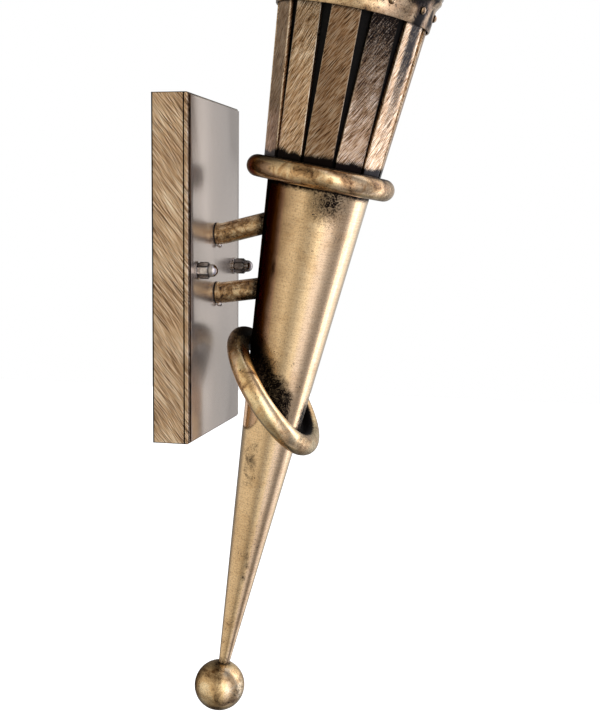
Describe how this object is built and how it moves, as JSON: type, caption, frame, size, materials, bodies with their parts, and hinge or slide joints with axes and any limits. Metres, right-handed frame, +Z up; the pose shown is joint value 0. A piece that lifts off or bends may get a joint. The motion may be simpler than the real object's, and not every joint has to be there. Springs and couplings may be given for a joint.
{
  "type": "torch wall sconce",
  "caption": "Wall torch sconce: brushed box with tube arms, a tapered torch with a ring, a tilted loop and a ball, and a flared slatted cup with a riveted band that holds a glass flame.",
  "frame": {"origin": "centre of the wall box's open back, on the wall plane", "axes": "+Z up, +Y into the wall, -Y out into the room, +X to the left of someone who faces the lamp"},
  "size_m": [0.124, 0.1994, 0.6873],
  "materials": {
    "brushed_antique_brass": "brushed, lacquered, dark in the grain",
    "antique_brass": "satin, mottled with brown",
    "dark_brass": "satin, dark",
    "satin_nickel": "smooth satin",
    "nickel": "polished nickel",
    "zinc_steel": "zinc plated",
    "raw_brass": "plain turned brass",
    "black_enamel": "matt black",
    "white_plastic": "matt",
    "porcelain": "glazed porcelain",
    "bulb_metal": "bright",
    "opal_glass": "opal, smooth",
    "frosted_glass": "frosted inside, smooth outside"
  },
  "bodies": {
    "lamp": {"wall_box": "brushed_antique_brass", "front_plate": "satin_nickel", "mounting_bracket": "zinc_steel", "bracket_studs": "zinc_steel", "stud_nuts": "zinc_steel", "nut_washers": "nickel", "cap_nuts": "nickel", "earth_screw": "raw_brass", "terminal_block": "white_plastic", "terminal_screws": "raw_brass", "upper_arm": "antique_brass", "lower_arm": "antique_brass", "arm_nipples": "raw_brass", "arm_lock_nuts": "zinc_steel", "arm_set_screws": "nickel", "cone_body": "antique_brass", "finial_stud": "raw_brass", "ball_finial": "antique_brass", "upper_ring": "antique_brass", "lower_loop": "antique_brass", "cup_liner": "black_enamel", "slat_01": "brushed_antique_brass", "slat_02": "brushed_antique_brass", "slat_03": "brushed_antique_brass", "slat_04": "brushed_antique_brass", "slat_05": "brushed_antique_brass", "slat_06": "brushed_antique_brass", "slat_07": "brushed_antique_brass", "slat_08": "brushed_antique_brass", "slat_09": "brushed_antique_brass", "slat_10": "brushed_antique_brass", "slat_11": "brushed_antique_brass", "slat_12": "brushed_antique_brass", "rim_band": "antique_brass", "band_rivets": "dark_brass", "holder_plate": "black_enamel", "holder_nipple": "raw_brass", "nipple_nuts": "zinc_steel", "lamp_holder": "porcelain", "holder_shell": "raw_brass", "holder_contact": "raw_brass"},
    "bulb": {"bulb_cap": "bulb_metal", "bulb_glass": "opal_glass"},
    "shade": {"glass_shade": "frosted_glass"}
  },
  "joints": [
    {"name": "shade_lift", "type": "slide", "parent": "lamp", "child": "shade", "axis": [0, -0.1908, 0.9816], "range_m": [0, 0.09]},
    {"name": "bulb_turn", "type": "hinge", "parent": "lamp", "child": "bulb", "pos_m": [0, -0.11885, 0.14842], "axis": [0, -0.1908, 0.9816], "continuous": true}
  ]
}
